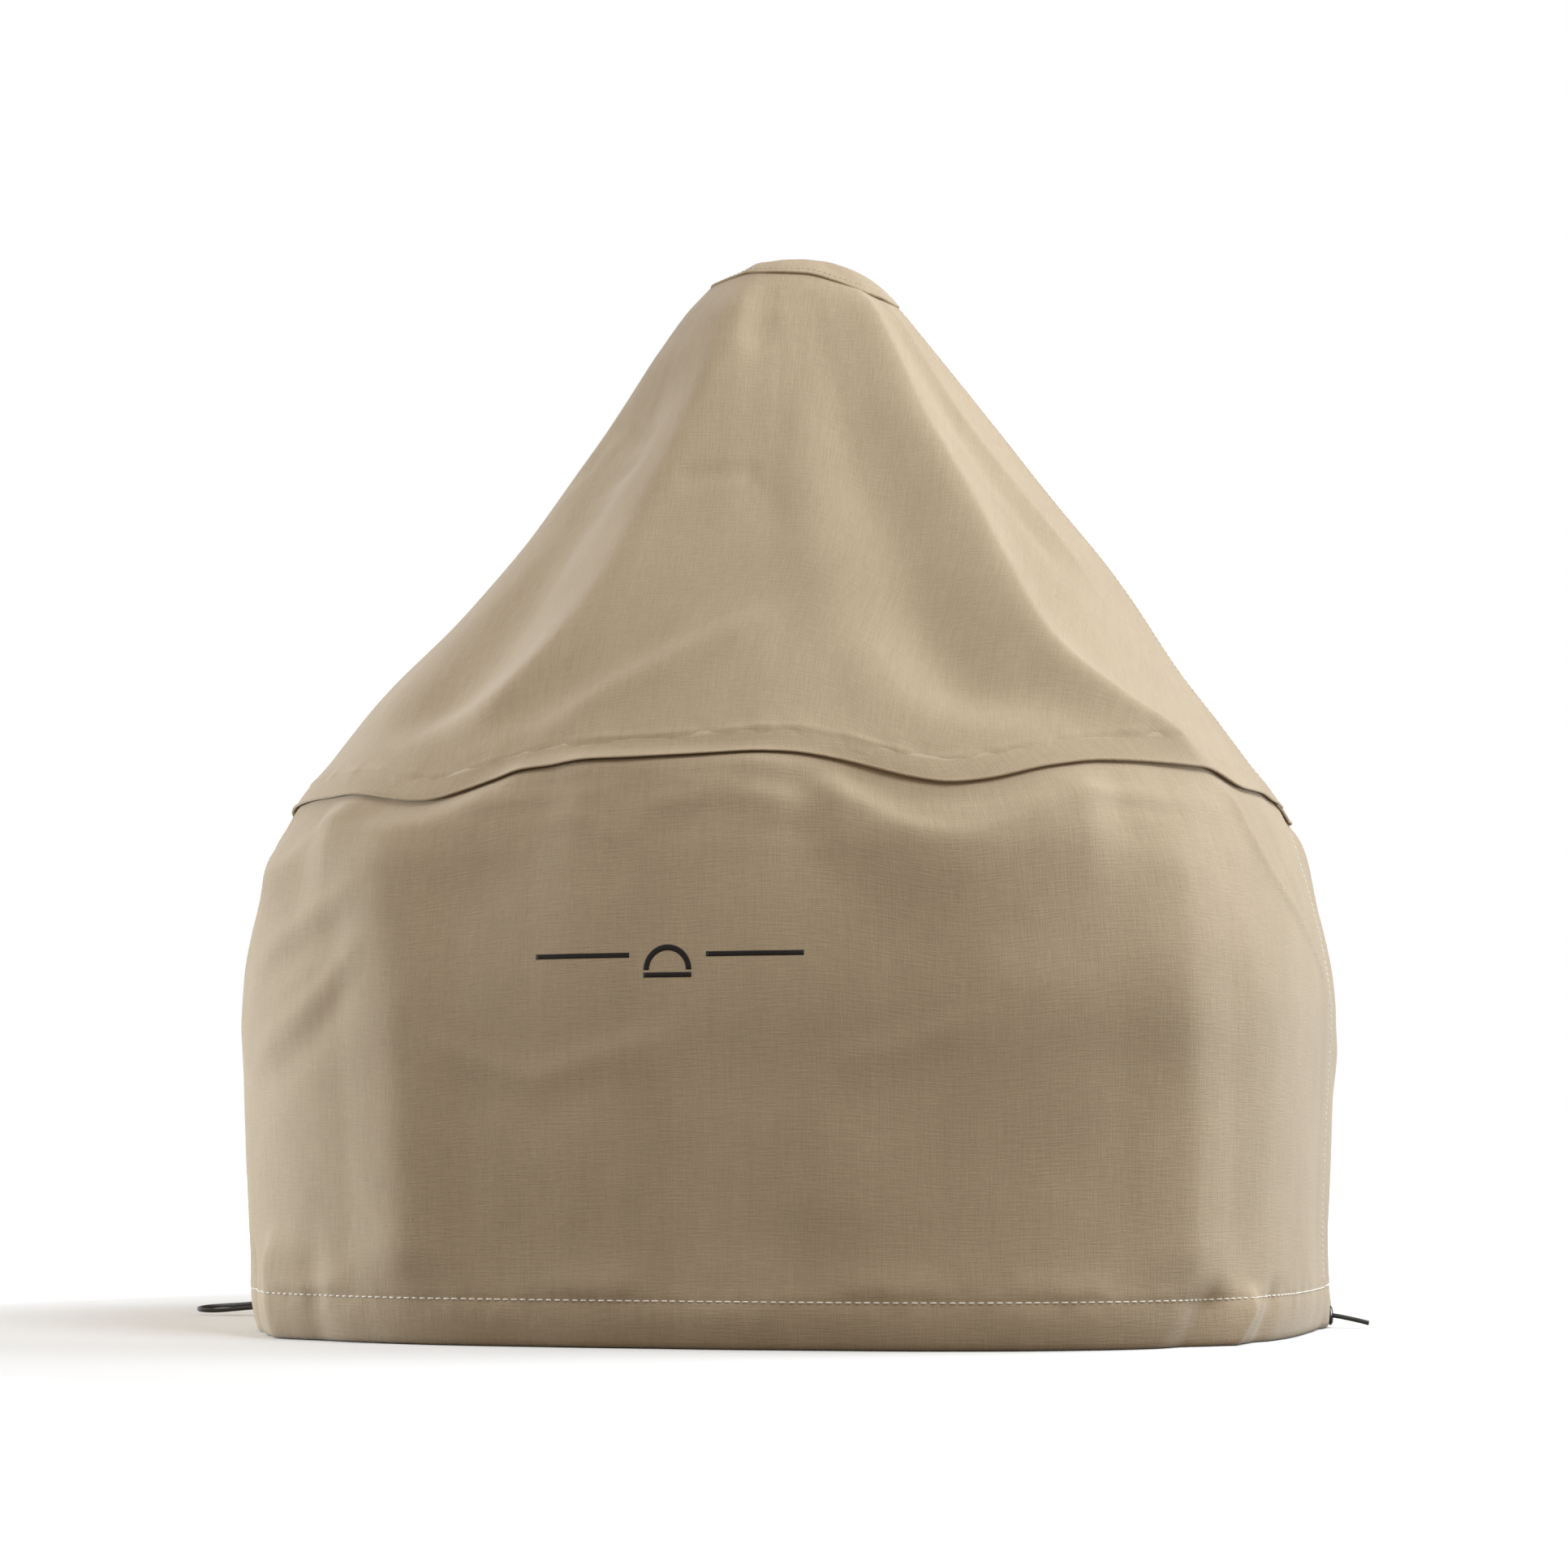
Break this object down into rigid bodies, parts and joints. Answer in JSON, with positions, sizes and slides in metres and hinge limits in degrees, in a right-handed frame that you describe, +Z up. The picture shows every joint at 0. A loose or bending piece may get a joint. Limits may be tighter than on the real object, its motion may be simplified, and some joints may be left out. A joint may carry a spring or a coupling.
{
  "type": "outdoor oven cover",
  "caption": "Fitted canvas cover for a dome outdoor oven: barrel body, tapered hood with storm skirt, vented top under a lifting flap, and a locking hem drawcord.",
  "frame": {"origin": "middle of the cover's plan, on the surface that the hem stands on", "axes": "+Z up, front face (printed) towards -Y, +X to the right when the front is seen from -Y"},
  "size_m": [0.8465, 0.6684, 0.74],
  "materials": {
    "canvas_body": "matt beige woven canvas with a water-repellent face",
    "canvas_hood": "matt beige woven canvas with a water-repellent face",
    "canvas_lining": "coated inner face of the same canvas",
    "seam_tape": "woven binding tape",
    "mesh_fabric": "black polyester vent mesh",
    "elastic_cord": "black braided elastic cord",
    "eyelet_plastic": "black moulded plastic, satin gloss",
    "lock_plastic": "black moulded plastic, fine texture",
    "spring_steel": "bright drawn wire",
    "print_ink": "flat dark screen-print ink",
    "label_fabric": "blank white satin label"
  },
  "bodies": {
    "cover": {"body_front_panel": "canvas_body", "body_rear_panel": "canvas_body", "hem_channel_front": "canvas_lining", "hem_channel_rear": "canvas_lining", "body_seam_tape_left": "seam_tape", "body_seam_tape_right": "seam_tape", "hood_front_panel": "canvas_hood", "hood_rear_panel": "canvas_hood", "skirt_facing_front": "canvas_lining", "skirt_facing_rear": "canvas_lining", "shoulder_seam_binding": "seam_tape", "hood_seam_tape_left": "seam_tape", "hood_seam_tape_right": "seam_tape", "crown_panel": "canvas_hood", "vent_mesh": "mesh_fabric", "vent_flap_seam_tape": "seam_tape", "drawcord_front_run": "elastic_cord", "drawcord_rear_run": "elastic_cord", "drawcord_left_loop": "elastic_cord", "drawcord_right_tail": "elastic_cord", "cord_end_crimp": "spring_steel", "left_eyelet": "eyelet_plastic", "left_eyelet_washer": "eyelet_plastic", "right_eyelet": "eyelet_plastic", "right_eyelet_washer": "eyelet_plastic", "printed_mark": "print_ink", "care_label": "label_fabric"},
    "vent_flap": {"vent_flap": "canvas_hood", "vent_flap_facing": "canvas_lining"},
    "cord_lock": {"cord_lock_barrel": "lock_plastic", "cord_lock_spring": "spring_steel"},
    "lock_plunger": {"cord_lock_plunger": "lock_plastic"}
  },
  "joints": [
    {"name": "vent_flap_lift", "type": "hinge", "parent": "cover", "child": "vent_flap", "pos_m": [0, 0.072, 0.71], "axis": [-1, 0, 0], "range_deg": [0, 60]},
    {"name": "lock_slide", "type": "slide", "parent": "cover", "child": "cord_lock", "axis": [-1, 0, 0], "range_m": [0, 0.03]},
    {"name": "plunger_press", "type": "slide", "parent": "cord_lock", "child": "lock_plunger", "axis": [0, -1, 0], "range_m": [0, 0.004], "stiffness_N_per_m": 600, "springref_m": -0.004, "deforming": ["cord_lock_spring"]}
  ]
}
